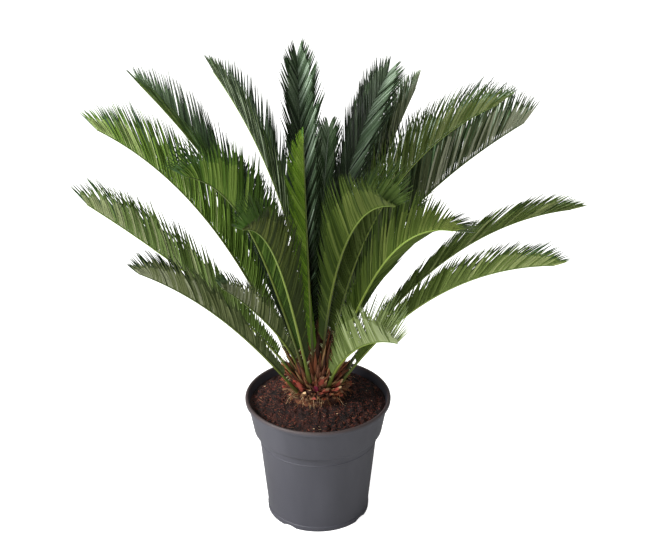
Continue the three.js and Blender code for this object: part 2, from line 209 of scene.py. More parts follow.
# Heading, angles above level at foot and tip, how late it bends, length, roll, fold, lean, size
# and the tints of its left and right leaflets, as seen from the trunk. Where a frond's two rows
# differ, the paler row is painted light and the darker row is painted shade.
frondTable = [
    (262, 73, 83, 1, 372, 74, 0, -12, 0.85, "young", "young"),
    (290, 76, 13, 1.65, 444, 10, 12, -4, 1.05, "deep", "deep"),
    (308, 65, 3, 3, 396, -44, -4, -4, 1.05, "deep", "deep"),
    (250, 65.5, 8, 3.7, 386, -15, 14, -8, 1.05, "shade", "shade"),
    (230, 69, 13, 3.8, 420, 3, 18, -4, 1.16, "moss", "moss"),
    (300, 60, 15, 0.95, 236, 2, 20, 22, 1.5, "pale", "pale"),
    (222, 69, 40, 0.6, 231, 0, 10, 3, 1.1, "grey", "grey"),
    (227, 51, 33, 1.7, 376, -5, 24, -8, 0.97, "grey", "grey"),
    (203, 64, 41, 0.35, 404, 15, 6, 2, 1.06, "sage", "sage"),
    (180, 66, 24.5, 2.1, 434, 20, 12, 3, 1.06, "lime", "lime"),
    (158, 85, 39.5, 0.55, 444, 5, 0, -3, 0.93, "olive", "dark"),
    (334, 55.5, 8.5, 1.55, 384, -18, 12, -3, 0.87, "sage", "olive"),
    (5, 57, 0, 1.6, 397, -30, 0, -10, 0.88, "dark", "olive"),
    (12, 87, 27, 0.58, 437, -8, 30, 8, 1.2, "silver", "silver"),
    (348, 79, 24, 1.8, 460, -12, 0, 0, 1.03, "blue", "olive"),
    (135, 86, 34, 1.12, 425, 28, 7, -5, 0.92, "blue", "blue"),
    (116, 82, 86, 1, 420, -16, 9, -6, 0.96, "inShadow", "litSheen"),
    (98, 62, 80, 1, 345, 0, 16, -8, 0.85, "inShadow", "blue"),
    (58, 82, 30, 1.7, 412, 33, 7, -3, 0.9, "inShadow", "litSheen"),
    (50, 76, 48, 0.7, 394, -35, 12, -8, 1.03, "litSheen", "litSheen"),
    (70, 70, 42, 0.8, 405, -32, 0, -12, 0.82, "inShadow", "blue"),
    (32, 72, 48, 1, 354, 33, -16, 7, 1.1, "inShadow", "dark"),
    (85, 74, 26, 1.4, 336, 2, 9, -5, 0.9, "inShadow", "dark"),
    (141, 78, 50, 0.8, 300, -10, -13, 14, 0.64, "inShadow", "inShadow"),
    (92, 50, 22, 1.3, 350, 0, 0, 0, 1, "dark", "dark"),
    (122, 50, 22, 1.3, 290, 0, 0, 0, 1, "dark", "dark"),
    (62, 50, 22, 1.3, 290, 0, 0, 0, 1, "dark", "dark"),
]
frondFields = ("heading", "foot", "tip", "bend", "length", "roll", "fold", "lean", "size",
               "left", "right")
fronds = [dict(zip(frondFields, row)) for row in frondTable]


def onDome(row, spread, highest):
    above = min(90 - (90 - row["foot"]) * spread, highest)
    return direction(row["heading"], above) * trunk["radius"]


def placeFeet():                    # feet that would touch are pushed apart
    feet = [onDome(row, frondRule["footSpread"], frondRule["highestFoot"]) for row in fronds]
    for _ in range(frondRule["rounds"]):
        for i, a in enumerate(feet):
            for j in range(i + 1, len(feet)):
                apart = feet[i] - feet[j]
                short = frondRule["footSpacing"] - np.linalg.norm(apart)
                if short > 0:
                    push = unit(apart) * short / 2
                    feet[i] = unit(feet[i] + push) * trunk["radius"]
                    feet[j] = unit(feet[j] - push) * trunk["radius"]
    return [foot + trunk["centre"] for foot in feet]


class Rib:
    # Follows the arc that a frond's heading and angles give, and eases over to its foot.
    def __init__(self, row, foot):
        self.row = row
        self.length = row["length"] - frondRule["leafletReachPastRib"]
        self.fullness = min(1, self.length / frondRule["fullSizeRib"])
        steps = frondRule["arcSteps"]
        ways = direction(row["heading"], self.angle((np.arange(steps) + 0.5) / steps))
        start = onDome(row, frondRule["arcSpread"], frondRule["highestArc"]) + trunk["centre"]
        self.arc = start + np.vstack([np.zeros(3), np.cumsum(ways, axis=0)]) * self.length / steps
        self.shift = foot - start

    def angle(self, share):         # degrees above level
        row = self.row
        reached = np.maximum(share, 0) * self.length / row["length"]
        return row["foot"] + (row["tip"] - row["foot"]) * reached ** row["bend"]

    def frame(self, share):
        share = np.asarray(share, float)
        angle = self.angle(share)
        along = direction(self.row["heading"], angle)
        face = direction(self.row["heading"], angle + 90)
        side = np.cross(along, face)
        roll = (np.radians(self.row["roll"]) * smoothStep(share, 0, 0.5))[..., None]
        face = face * np.cos(roll) + side * np.sin(roll)
        grid = np.linspace(0, 1, len(self.arc))
        at = np.stack([np.interp(share, grid, self.arc[:, k]) for k in range(3)], axis=-1)
        past = np.where(share > 1, share - 1, np.minimum(share, 0))[..., None]
        at = at + past * self.length * along
        at = at + self.shift * ((1 - np.clip(share, 0, 1)) ** 2)[..., None]
        return at, along, face, np.cross(along, face)

    def section(self, share):       # half width and depth of the rib
        rule, petiole = frondRule, frondRule["petioleShare"]
        onBlade = np.clip((share - petiole) / (1 - petiole), 0, 1)
        onPetiole = np.clip(share / petiole, 0, 1) ** 0.6
        wide = mix(rule["halfWidthAtFoot"], rule["halfWidthAtBlade"], onPetiole)
        deep = mix(rule["depthAtFoot"], rule["depthAtBlade"], onPetiole)
        wide = wide + (rule["halfWidthAtTip"] - rule["halfWidthAtBlade"]) * onBlade
        deep = deep + (rule["depthAtTip"] - rule["depthAtBlade"]) * onBlade
        return wide, deep


ribs = [Rib(row, foot) for row, foot in zip(fronds, placeFeet())]
print("fronds placed:", len(ribs))

# The leaf stalks and ribs: smooth living stem, woolly brown at the foot and yellow green beyond.
ribLook = {"stations": 70, "around": 10, "squareness": 0.8, "outerGreen": 0.11, "seed": 3}


def makeRibs():
    batch, alongs, tones, uppers = Batch(), [], [], []
    random = np.random.default_rng(ribLook["seed"])
    for rib in ribs:
        share = np.linspace(-frondRule["footSunk"] / rib.length, 1, ribLook["stations"])
        at, along, face, side = rib.frame(share)
        wide, deep = rib.section(share)
        turn = fullTurn(ribLook["around"])
        out = np.sign(np.cos(turn)) * np.abs(np.cos(turn)) ** ribLook["squareness"]
        high = np.sign(np.sin(turn)) * np.abs(np.sin(turn)) ** ribLook["squareness"]
        points = at[:, None] + side[:, None] * (out[None, :] * wide[:, None])[..., None]
        points = points + face[:, None] * (high[None, :] * deep[:, None] / 2)[..., None]
        batch.add(points, ringFaces(len(share), ribLook["around"]))
        outer = smoothStep(72 - rib.row["foot"], 0, 6)     # the outer stalks stay green to the foot
        alongs.append(np.repeat(share + ribLook["outerGreen"] * outer, ribLook["around"]))
        tones.append(np.full(points.shape[0] * points.shape[1], random.random()))
        uppers.append(np.tile(smoothStep(high, -0.2, 0.5), len(share)))
    piece = makeMesh("frondRibs", batch, [livingStem()], sharpAbove=60)
    for name, values in (("along", alongs), ("tone", tones), ("upper", uppers)):
        attribute = piece.data.attributes.new(name, "FLOAT", "POINT")
        attribute.data.foreach_set("value", np.concatenate(values).astype(np.float32))
    finishPiece(piece, "leaf")


def livingStem():
    # A waxy green stalk: satin, darker above, partly its own colour and partly painted shade, and
    # yellow green below, with brown wool at its foot.
    material, tree, shader = newMaterial("waxyLeafStalk", Roughness=0.42, IOR=1.45)
    along = ownValue(tree, "along")
    patches = addNoise(tree, ownPlace(tree), 160.0, Detail=3.0)
    ragged = addMath(tree, "ADD", along, addMath(tree, "MULTIPLY", patches, 0.12))
    below = addRamp(tree, ragged, [
        (0.04, "#4a2416"), (0.12, "#6b3a22"), (0.17, "#5e5428"), (0.24, "#5f6e2c"),
        (0.4, "#8a9c3c"), (1.0, "#8fa84a")])
    above = addRamp(tree, ragged, [
        (0.04, "#3d1e13"), (0.12, "#5c3420"), (0.18, "#34401c"), (0.3, "#26381c"),
        (1.0, "#2c4224")])
    # Painted shade in part: the top of the stalk is mixed to dark green.
    upper = ownValue(tree, "upper")
    colour = mixColours(tree, upper, below, above)
    tone = ownValue(tree, "tone")
    shade = addRamp(tree, tone, [(0, "#b8b8b8"), (1, "#ffffff")])
    tree.links.new(mixColours(tree, 1.0, colour, shade, "MULTIPLY"), shader.inputs["Base Color"])
    addBump(tree, shader, patches, 0.25, 0.0004)
    return material


makeRibs()
print("ribs made")

# The leaflets: thin stiff blades with a raised middle and edges rolled under.
leafletLook = {
    "spacing": 3.6, "length": 96, "width": 3.2, "thickness": 0.45, "arch": 0.36,
    "shareAtBase": 0.18, "longestFrom": 0.5, "longestTo": 0.6, "shareAtTip": 0.3,
    "leanAtBase": 52, "leanAtMiddle": 31, "leanAtTip": 36, "leanAtEnd": 24,
    "baseLeanTo": 0.3, "endLeanFrom": 0.9,
    "raiseAtBase": 58, "raiseAtTip": 36, "bow": 0.012, "droop": 0.03, "twist": 16,
    "stations": [0, 0.06, 0.22, 0.42, 0.62, 0.78, 0.9], "narrowFrom": 0.4, "pointed": 1.35,
    "darkFrom": 0.5,
    "lengthSpread": 0.035, "leanSpread": 1.1, "raiseSpread": 2.2, "twistSpread": 6,
    "waveLean": 1.5, "waveRaise": 2, "waves": 7, "toneRise": 2.4, "toneSpread": 0.6,
    "highestTone": 2.99, "edgeShare": 0.4, "rootDepth": 0.15, "rootOut": 0.5, "seed": 11,
}

# Three tones for a leaflet's upper side and three for its under side, the darker ones commoner
# near the stalk as painted shade deep in the crown. The tints for fronds deep in the crown and for
# rows turned from the lamp are painted shade, the tints for rows turned to the lamp are painted
# light, and the pale upper tones of the blue tint are partly a painted sheen.
leafTints = {
    "young": (["#2a4c1e", "#355c24", "#446e2e"], ["#628428", "#86ac36", "#a0c050"]),
    "lime": (["#1a3216", "#284424", "#466040"], ["#425a18", "#6c8838", "#96a868"]),
    "sage": (["#203818", "#34502c", "#567050"], ["#465a22", "#6c8046", "#949e70"]),
    # painted shade: darkened for fronds deep in the crown
    "deep": (["#1a2a0e", "#2a3a14", "#3a4a20"], ["#33450f", "#4e6022", "#687636"]),
    # painted shade: the under side darkened for a frond in the shade of the crown
    "shade": (["#3a5422", "#587838", "#6e8a4c"], ["#2a360c", "#3c4815", "#586228"]),
    "olive": (["#2c4420", "#4a6638", "#688056"], ["#4a5c22", "#6e8040", "#98a468"]),
    "moss": (["#2c4420", "#3e5a2c", "#56744a"], ["#3a5416", "#557428", "#76903e"]),
    "grey": (["#263c1f", "#405838", "#667a5c"], ["#46522a", "#70794d", "#9ca280"]),
    "pale": (["#4c5e30", "#64743e", "#7e8c5a"], ["#5c6c36", "#808e58", "#9eaa7c"]),
    "dark": (["#1a2b13", "#354a2c", "#56694c"], ["#2c3b12", "#465824", "#66743f"]),
    # painted shadow: near black, for rows and fronds in the shade of the crown
    "inShadow": (["#131f0d", "#2e4026", "#62725a"], ["#1f2b0e", "#3a4a20", "#606e44"]),
    "silver": (["#22341a", "#465c3c", "#88967e"], ["#2c3a1a", "#606a48", "#b0b498"]),
    # partly painted sheen: the paler upper tones stand for the gloss on the cuticle, on a bluish
    # green
    "blue": (["#1c2b17", "#3c4e36", "#66795f"], ["#3e5028", "#626e50", "#88947a"]),
    # painted light: pale tones with a painted sheen, for rows turned to the lamp
    "litSheen": (["#1c2916", "#586c52", "#98aa94"], ["#5c6c44", "#a0a884", "#c4c8ac"]),
}


def leafSkins():
    # A leaf's upper side has a smooth cuticle that mirrors the light, its under side scatters it.
    finishes = [("glossyCuticle", 0.32, 0.5), ("mattUnderside", 0.6, 0.2)]
    skins, first = [], {}
    for tint, sides in leafTints.items():
        first[tint] = len(skins)
        for colours, (name, roughness, gloss) in zip(sides, finishes):
            for tone, colour in enumerate(colours):
                skins.append(plainSkin(f"{name}_{tint}_{tone}", colour, roughness,
                                       Specular_IOR_Level=gloss))
    return skins, first


def leafletLength(t):
    look = leafletLook
    grown = mix(look["shareAtBase"], 1, smoothStep(t, 0, look["longestFrom"]))
    past = np.maximum(0, (t - look["longestTo"]) / (1 - look["longestTo"]))
    return look["length"] * grown * mix(1, look["shareAtTip"], past ** 2)


def leafletLean(t):
    look = leafletLook
    lean = mix(look["leanAtBase"], look["leanAtMiddle"], smoothStep(t, 0, look["baseLeanTo"]))
    lean = mix(lean, look["leanAtTip"], smoothStep(t, 0.5, 1))
    return mix(lean, look["leanAtEnd"], smoothStep(t, look["endLeanFrom"], 1))


def leafletWidths(s):               # share of the full width along a leaflet
    rising = mix(0.5, 1, smoothStep(s, 0, 0.15))
    falling = np.clip((s - leafletLook["narrowFrom"]) / (1 - leafletLook["narrowFrom"]), 0, 1)
    return rising * (1 - falling ** leafletLook["pointed"])


def leafletFaces(stations, darkFrom=1):     # six points to a station and one at the tip
    faces, upper, outer = [], [], []
    for k in range(len(stations) - 1):
        for j in range(6):
            a, b = k * 6 + j, k * 6 + (j + 1) % 6
            faces += [(a, b, b + 6), (a, b + 6, a + 6)]
            upper += [j < 2] * 2
            outer += [stations[k] > darkFrom] * 2
    last = (len(stations) - 1) * 6
    for j in range(6):
        faces.append((last + j, last + (j + 1) % 6, last + 6))
        upper.append(j < 2)
        outer.append(True)
    faces += [(5, 4, 0), (4, 1, 0), (4, 3, 1), (3, 2, 1)]
    upper += [False] * 4
    outer += [False] * 4
    return np.array(faces), np.array(upper), np.array(outer)


def addLeaflets(batch, rib, random, firstSkins):
    look, row = leafletLook, rib.row
    petiole = frondRule["petioleShare"]
    pairs = round((1 - petiole) * rib.length / (look["spacing"] * math.sqrt(rib.fullness)))
    stations = np.array(look["stations"])
    template, upper, outer = leafletFaces(stations, look["darkFrom"])
    wavePhase = random.random(4) * 2 * np.pi
    for hand in (-1, 1):
        step = np.arange(pairs) + (0.25 if hand < 0 else 0.75)
        t = step / pairs
        share = petiole + (1 - petiole) * t
        at, along, face, side = rib.frame(share)
        wide, deep = rib.section(share)
        wave = np.sin(t * look["waves"] * 2 * np.pi + wavePhase[0 if hand < 0 else 1])
        swell = np.sin(t * look["waves"] * 3.7 + wavePhase[2 if hand < 0 else 3])
        lean = leafletLean(t) + row["lean"] + look["waveLean"] * wave
        lean = np.radians(lean + random.normal(0, look["leanSpread"], pairs))
        raised = mix(look["raiseAtBase"], look["raiseAtTip"], t) + row["fold"]
        raised = raised + look["waveRaise"] * swell
        raised = np.radians(raised + random.normal(0, look["raiseSpread"], pairs))
        length = leafletLength(t) * rib.fullness * row["size"]
        length = length * random.normal(1, look["lengthSpread"], pairs)
        way = along * np.cos(lean)[:, None] + side * (hand * np.sin(lean) * np.cos(raised))[:, None]
        way = way + face * (np.sin(lean) * np.sin(raised))[:, None]
        across = unit(along - way * np.sum(along * way, axis=1, keepdims=True))
        up = np.cross(way, across) * hand
        twist = np.radians(look["twist"] + random.normal(0, look["twistSpread"], pairs))[:, None]
        across, up = (across * np.cos(twist) + up * np.sin(twist),
                      up * np.cos(twist) - across * np.sin(twist))
        root = at + face * (deep * look["rootDepth"])[:, None]
        root = root + side * (hand * wide * look["rootOut"])[:, None]
        reach = np.append(stations, 1)[None, :, None]
        size = length[:, None, None]
        middle = root[:, None] + way[:, None] * size * reach
        middle = middle - across[:, None] * size * (look["bow"] * 4 * reach * (1 - reach))
        middle = middle - up[:, None] * size * look["droop"] * reach ** 2
        half = look["width"] / 2 * math.sqrt(rib.fullness) * leafletWidths(stations)[None, :, None]
        body, tip = middle[:, :-1], middle[:, -1:]
        sideways, upwards = across[:, None] * half, up[:, None]
        crest = upwards * 2 * half * look["arch"]
        thick = upwards * look["thickness"] / 2
        edge = thick * look["edgeShare"]
        ring = [body - sideways + edge, body + crest + thick, body + sideways + edge,
                body + sideways - edge, body + crest - thick, body - sideways - edge]
        if hand < 0:                # keeps the faces pointing out on the mirrored row
            ring = [ring[k] for k in (2, 1, 0, 5, 4, 3)]
        points = np.concatenate([np.stack(ring, axis=2).reshape(pairs, -1, 3), tip], axis=1)
        # Painted shade: the tone rises along the frond, so leaflets near the stalk, deep in the
        # crown, get the darker tones, with a random spread.
        tone = t * look["toneRise"] + random.normal(0, look["toneSpread"], pairs)
        tone = np.clip(tone, 0, look["highestTone"])
        # Each row takes its own tint, so one row can be painted lit and the other painted shade.
        first = firstSkins[row["left" if hand < 0 else "right"]]
        shown = np.maximum(tone.astype(int)[:, None] - outer[None, :], 0)   # darker further out
        skin = first + np.where(upper[None, :], 0, 3) + shown
        faces = template[None] + (np.arange(pairs) * points.shape[1])[:, None, None]
        batch.add(points, [faces.reshape(-1, 3)], skin.reshape(-1))


def makeLeaflets():
    skins, first = leafSkins()
    random = np.random.default_rng(leafletLook["seed"])
    groups = {"leafletsFront": range(0, 8), "leafletsLeft": range(8, 11),
              "leafletsRight": range(11, 15), "leafletsBack": range(15, 20),
              "leafletsRear": range(20, 27)}
    total = 0
    for name, members in groups.items():
        batch = Batch()
        for i in members:
            addLeaflets(batch, ribs[i], random, first)
        piece = makeMesh(name, batch, skins, sharpAbove=50)
        total += len(piece.data.polygons)
        finishPiece(piece, "leaf", *[f"frond_{i + 1:02d}" for i in members])
    print("leaflets made with", total, "triangles")


makeLeaflets()

# The spines are leaflets cut short: stiff pale points along both edges of the stalk.
spineLook = {"spacing": 6, "from": 0.07, "shortest": 2, "longest": 7, "width": 1.7, "lean": 62,
             "raise": 48, "raiseSpread": 8, "rootOut": 0.7, "seed": 5}


def makeSpines():
    look, batch = spineLook, Batch()
    random = np.random.default_rng(look["seed"])
    skin = plainSkin("stiffPaleSpine", "#b9bd8c", 0.45)
    faces = [np.array([(0, 1, 4), (1, 2, 4), (2, 3, 4), (3, 0, 4)]), np.array([(3, 2, 1, 0)])]
    for rib in ribs:
        end = frondRule["petioleShare"]
        count = int((end - look["from"]) * rib.length / look["spacing"])
        for hand in (-1, 1):
            t = (np.arange(count) + random.uniform(0.2, 0.8, count)) / count
            share = mix(look["from"], end, t)
            at, along, face, side = rib.frame(share)
            wide, _ = rib.section(share)
            lean = math.radians(look["lean"])
            raised = look["raise"] + random.normal(0, look["raiseSpread"], count)
            raised = np.radians(raised)[:, None]
            outward = side * hand * np.cos(raised) + face * np.sin(raised)
            way = along * math.cos(lean) + math.sin(lean) * outward
            across = unit(along - way * np.sum(along * way, axis=1, keepdims=True))
            up = np.cross(way, across)
            root = at + side * (hand * wide * look["rootOut"])[:, None] + face
            size = mix(look["shortest"], look["longest"], t) * random.uniform(0.8, 1.2, count)
            for k in range(count):
                a, u = across[k] * look["width"] / 2, up[k] * look["width"] / 2
                foot, tip = root[k], root[k] + way[k] * size[k]
                batch.add([foot - a, foot - u, foot + a, foot + u, tip], faces)
    finishPiece(makeMesh("stalkSpines", batch, [skin], sharpAbove=40), "leaf")


makeSpines()
print("spines made")

# The trunk: a short woolly dome set with the cut bases of old leaves.
trunkLook = {"rings": 60, "around": 160, "inset": 1.2, "footShare": 0.12, "topShare": 0.995,
             "relief": 1.6, "rows": 63, "rightScars": 8, "leftScars": 13}


def makeTrunk():
    look, foot = trunkLook, trunkLook["footShare"]
    radius, centre = trunk["radius"] - look["inset"], trunk["centre"]
    drop = centre[2] - trunk["ground"]
    s = np.linspace(0, 1, look["rings"])
    turn = fullTurn(look["around"])
    above = np.clip((s - foot) / (1 - foot), 0, 1) * np.pi / 2 * look["topShare"]
    footOut = mix(trunk["footRadius"] - look["inset"], radius, s / foot)
    out = np.where(s < foot, footOut, radius * np.cos(above))
    high = np.where(s < foot, -drop * (1 - s / foot), radius * np.sin(above))
    rows = look["rows"] * s[:, None]
    lift = np.sin(rows + turn * look["rightScars"]) * np.sin(rows - turn * look["leftScars"])
    relief = look["relief"] * lift * (np.sin(np.pi * s) ** 0.5)[:, None]
    grown = out[:, None] + relief
    points = np.stack([centre[0] + grown * np.cos(turn), centre[1] + grown * np.sin(turn),
                       centre[2] + high[:, None] + 0 * turn], axis=-1)
    batch = Batch()
    batch.add(points, ringFaces(look["rings"], look["around"]))
    finishPiece(makeMesh("trunkBark", batch, [woollyBark()], sharpAbove=70), "trunk", "trunk")


def woollyBark():
    # Old cycad bark is felted with rusty wool: dull, soft and darker in its folds.
    material, tree, shader = newMaterial("rustyWoolBark", Roughness=0.9, IOR=1.4)
    tufts = addNoise(tree, ownPlace(tree), 220.0, Detail=6.0, Roughness=0.7)
    colour = addRamp(tree, tufts, [
        (0.3, "#1c0f0a"), (0.48, "#402216"), (0.6, "#6c4028"), (0.75, "#8e6846")])
    tree.links.new(colour, shader.inputs["Base Color"])
    addBump(tree, shader, tufts, 0.8, 0.0012)
    return material


makeTrunk()
print("trunk made")

# The old leaf bases stand on the trunk in the spiral of the solids, but more of them and higher up.
baseLook = {
    "count": 96, "turn": 137.5, "lowest": -4, "highest": 70, "rise": 34, "waySpread": 8,
    "length": 15, "lengthShares": (0.5, 1.25), "sunk": 5,
    "rootRadius": 5.2, "rootShares": (0.75, 1.2),
    "flatness": 0.55, "slants": (-0.5, 0.6), "torn": 0.7, "around": 12, "frondSpacing": 6,
    "sections": [(0, 0.92), (0.4, 0.8), (0.8, 0.62), (1, 0.5)],
    "lowBelow": 14, "creamShareLow": 0.05, "creamShareHigh": 0.26, "seed": 21,
}
# Name, colour and roughness of each skin, and its share among the low and the high bases.
baseSkins = [
    ("rustBase", "#7e391f", 0.75, 0.2, 0.25), ("orangeBase", "#a4522e", 0.75, 0.16, 0.3),
    ("redBase", "#8e2c22", 0.7, 0.02, 0.1), ("pinkBase", "#9a4838", 0.75, 0.05, 0.1),
    ("purpleBase", "#761f3a", 0.65, 0.03, 0.11), ("tanBase", "#826046", 0.8, 0.28, 0.08),
    ("brownBase", "#41241a", 0.85, 0.26, 0.06),
]


def nearestRib(points):             # the least distance from the points to the feet of the fronds
    stalks = np.concatenate([rib.frame(np.linspace(0, 0.25, 16))[0] for rib in ribs])
    return np.linalg.norm(points[:, None] - stalks[None], axis=2).min()


def makeLeafBases():
    look, batch = baseLook, Batch()
    random = np.random.default_rng(look["seed"])
    sides = [plainSkin(*skin[:3]) for skin in baseSkins] + [plainSkin("creamCut", "#dcb98a", 0.7)]
    turn = fullTurn(look["around"])
    for i in range(look["count"]):
        above = mix(look["highest"], look["lowest"], math.sqrt(i / look["count"]))
        heading = i * look["turn"]
        seat = direction(heading, above) * trunk["radius"] + trunk["centre"]
        way = direction(heading + random.normal(0, look["waySpread"]),
                        above + look["rise"] + random.normal(0, look["waySpread"]))
        grown = mix(0.6, 1, smoothStep(above, 0, 25))
        length = look["length"] * random.uniform(*look["lengthShares"]) * grown
        if nearestRib(seat + way * np.linspace(0, length, 4)[:, None]) < look["frondSpacing"]:
            continue
        across = unit(np.array([-way[1], way[0], 0]))
        under = np.cross(across, way)
        rings = []
        root = look["rootRadius"] * random.uniform(*look["rootShares"])
        slant = random.uniform(*look["slants"])
        torn = random.normal(0, look["torn"], look["around"])
        wobble = 1 + 0.12 * np.sin(3 * turn + i) + 0.07 * np.sin(5 * turn + 2 * i)
        for reach, size in [(-look["sunk"], 1)] + look["sections"]:
            far = reach if reach < 0 else reach * length
            out = (across * (np.cos(turn) * root * size * wobble)[:, None]
                   + under * (np.sin(turn) * root * size * wobble * look["flatness"])[:, None])
            tilt = way * ((slant * np.sin(turn) * root + torn) * max(0, reach) ** 2)[:, None]
            rings.append(seat + way * far + out + tilt)
        faces = ringFaces(len(rings), look["around"])
        low = above < look["lowBelow"]
        side = random.choice(len(baseSkins), p=[skin[3 if low else 4] for skin in baseSkins])
        cream = random.random() < look["creamShareLow" if low else "creamShareHigh"]
        end = len(baseSkins) if cream else random.choice([0, 3, 5, 6])
        batch.add(np.array(rings), faces[:2], side)
        # The cut end has a skin of its own.
        batch.faces.append(faces[2] + batch.count - len(rings) * look["around"])
        batch.which.append(np.array([end]))
    finishPiece(makeMesh("oldLeafBases", batch, sides, sharpAbove=45), "trunk")


makeLeafBases()
print("leaf bases made")

# Scale leaves: short pointed bracts felted with brown wool, between the stalks and round them.
scaleLook = {
    "count": 640, "firstHeading": 40, "lowest": 6, "highest": 88, "sunk": 4, "clear": 3.5,
    "length": 66, "lengthShares": (0.6, 1.15), "width": 7.5, "thickness": 1.1, "edgeShare": 0.4,
    "cup": 0.35, "rise": 14, "steepest": 84, "turnSpread": 9, "riseSpread": 5, "bend": (0.05, 0.04),
    "stations": [0, 0.25, 0.5, 0.75, 0.92], "seed": 31,
}


def makeScaleLeaves():
    look, batch = scaleLook, Batch()
    random = np.random.default_rng(look["seed"])
    skins = [plainSkin(tone + "WoolScale", colour, 0.95) for tone, colour in
             (("brown", "#68402a"), ("rust", "#7e482c"), ("tan", "#927048"), ("dark", "#3e2418"))]
    stations = np.array(look["stations"])
    faces = leafletFaces(stations)[0]
    low, high = math.sin(math.radians(look["lowest"])), math.sin(math.radians(look["highest"]))
    for i in range(look["count"]):
        above = math.degrees(math.asin(mix(low, high, (i + 0.5) / look["count"])))
        heading = i * baseLook["turn"] + look["firstHeading"]
        seat = direction(heading, above) * (trunk["radius"] - look["sunk"]) + trunk["centre"]
        grown = mix(0.25, 1, smoothStep(above, 15, 60)) * random.uniform(*look["lengthShares"])
        length = look["length"] * grown
        lifted = mix(above + look["rise"], look["steepest"], smoothStep(above, 5, 60))
        way = direction(heading + random.normal(0, look["turnSpread"]),
                        lifted + random.normal(0, look["riseSpread"]))
        if nearestRib(seat + way * np.linspace(4, length, 5)[:, None]) < look["clear"]:
            continue
        across = direction(heading + 90, 0)
        out = np.cross(across, way)
        bend = random.normal(*look["bend"])
        half = look["width"] / 2 * mix(0.7, 1, grown) * (1 - stations ** 1.5)
        middle = seat + way * (stations * length)[:, None]
        middle = middle + out * (bend * length * stations ** 2)[:, None]
        tip = seat + way * length + out * bend * length
        thick = look["thickness"] / 2 * out
        edge = thick * look["edgeShare"]
        rim = middle - out * (half * look["cup"])[:, None]
        sideways = across * half[:, None]
        ring = [rim - sideways + edge, middle + thick, rim + sideways + edge,
                rim + sideways - edge, middle - thick, rim - sideways - edge]
        points = np.concatenate([np.stack(ring, axis=1).reshape(-1, 3), tip[None]])
        batch.add(points, [faces], random.choice(4, p=[0.4, 0.25, 0.15, 0.2]))
    finishPiece(makeMesh("scaleLeaves", batch, skins, sharpAbove=50), "trunk")


makeScaleLeaves()
print("scale leaves made")

# Torn leaf base fibres hang round the foot of the trunk: dry straw that curls.
fibreLook = {
    "count": 260, "lowest": -6, "highest": 30, "length": 17, "lengthShares": (0.5, 1.4),
    "radius": 0.35, "around": 3, "steps": 7, "turnSpread": 35, "rises": (-30, 45),
    "pullSpread": 60, "falls": (-70, -20), "pull": 0.22, "waver": 0.12, "offSoil": 0.5, "seed": 41,
}


def makeFibres():
    look, batch = fibreLook, Batch()
    random = np.random.default_rng(look["seed"])
    skins = [plainSkin("dryStraw", "#b08a5c", 0.85), plainSkin("rustStraw", "#8a4f2c", 0.85),
             plainSkin("paleStraw", "#d2b488", 0.85), plainSkin("brownStraw", "#55301c", 0.9)]
    turn = fullTurn(look["around"])
    for _ in range(look["count"]):
        heading, above = random.uniform(0, 360), random.uniform(look["lowest"], look["highest"])
        at = direction(heading, above) * (trunk["radius"] - 1) + trunk["centre"]
        way = direction(heading + random.normal(0, look["turnSpread"]),
                        random.uniform(*look["rises"]))
        pull = direction(heading + random.normal(0, look["pullSpread"]),
                         random.uniform(*look["falls"]))
        length = look["length"] * random.uniform(*look["lengthShares"])
        rings = []
        for k in range(look["steps"]):
            s = k / (look["steps"] - 1)
            across = unit(np.cross(way, [0.0, 0.0, 1.0]))
            under = np.cross(way, across)
            circle = across * np.cos(turn)[:, None] + under * np.sin(turn)[:, None]
            rings.append(at + look["radius"] * (1.15 - s) * circle)
            way = unit(mix(way, pull, look["pull"]) + random.normal(0, look["waver"], 3))
            at = at + way * length / look["steps"]
            at[2] = max(at[2], trunk["ground"] + look["offSoil"])
        batch.add(np.array(rings), ringFaces(look["steps"], look["around"]), random.integers(0, 4))
    finishPiece(makeMesh("strawFibres", batch, skins), "trunk")


makeFibres()
print("fibres made")

# The soil: bark and coir potting mix, a low rough mound that fills the pot.
soilLook = {"edgeRadius": 88.6, "edgeHeight": 158, "topRadius": 44, "top": 172, "rings": 70,
            "around": 220, "relief": 0.36, "waves": 40, "fine": 0.55, "coarse": 0.35, "seed": 51,
            "sides": [(65.1, 4.3), (75.6, 115), (81.8, 122.5)]}   # radius and height inside the pot


def soilHeight(radius):
    flat, edge = soilLook["topRadius"], soilLook["edgeRadius"]
    top, low = soilLook["top"], soilLook["edgeHeight"]
    return np.interp(radius, [0, flat, flat + 12, 64, edge - 8, edge],
                     [top, top, top - 1.5, low + 8, low + 2, low])


def makeSoil():
    look, batch = soilLook, Batch()
    random = np.random.default_rng(look["seed"])
    turn = fullTurn(look["around"])
    radius = np.linspace(look["edgeRadius"], 1, look["rings"])
    waves = random.uniform(-1, 1, (look["waves"], 4))
    x, y = radius[:, None] * np.cos(turn), radius[:, None] * np.sin(turn)
    rough = np.zeros_like(x)
    for a, b, c, d in waves:
        rough += (np.sin((a * x + b * y) * look["fine"] + c * 9)
                  * np.sin((b * x - a * y) * look["coarse"] + d * 9))
    calm = smoothStep(look["edgeRadius"] - radius, 0, 5) * smoothStep(radius, 34, 44)
    high = soilHeight(radius)[:, None] + rough * look["relief"] * calm[:, None]
    top = np.stack([x, y, high], axis=-1)
    sides = [levelRing(out, up, turn) for out, up in look["sides"]]
    batch.add(np.concatenate([sides, top]), ringFaces(look["rings"] + len(sides), look["around"]))
    bed = makeMesh("soilBed", batch, [pottingMix()], sharpAbove=60)
    finishPiece(bed, "soil", "soil")
    return bed


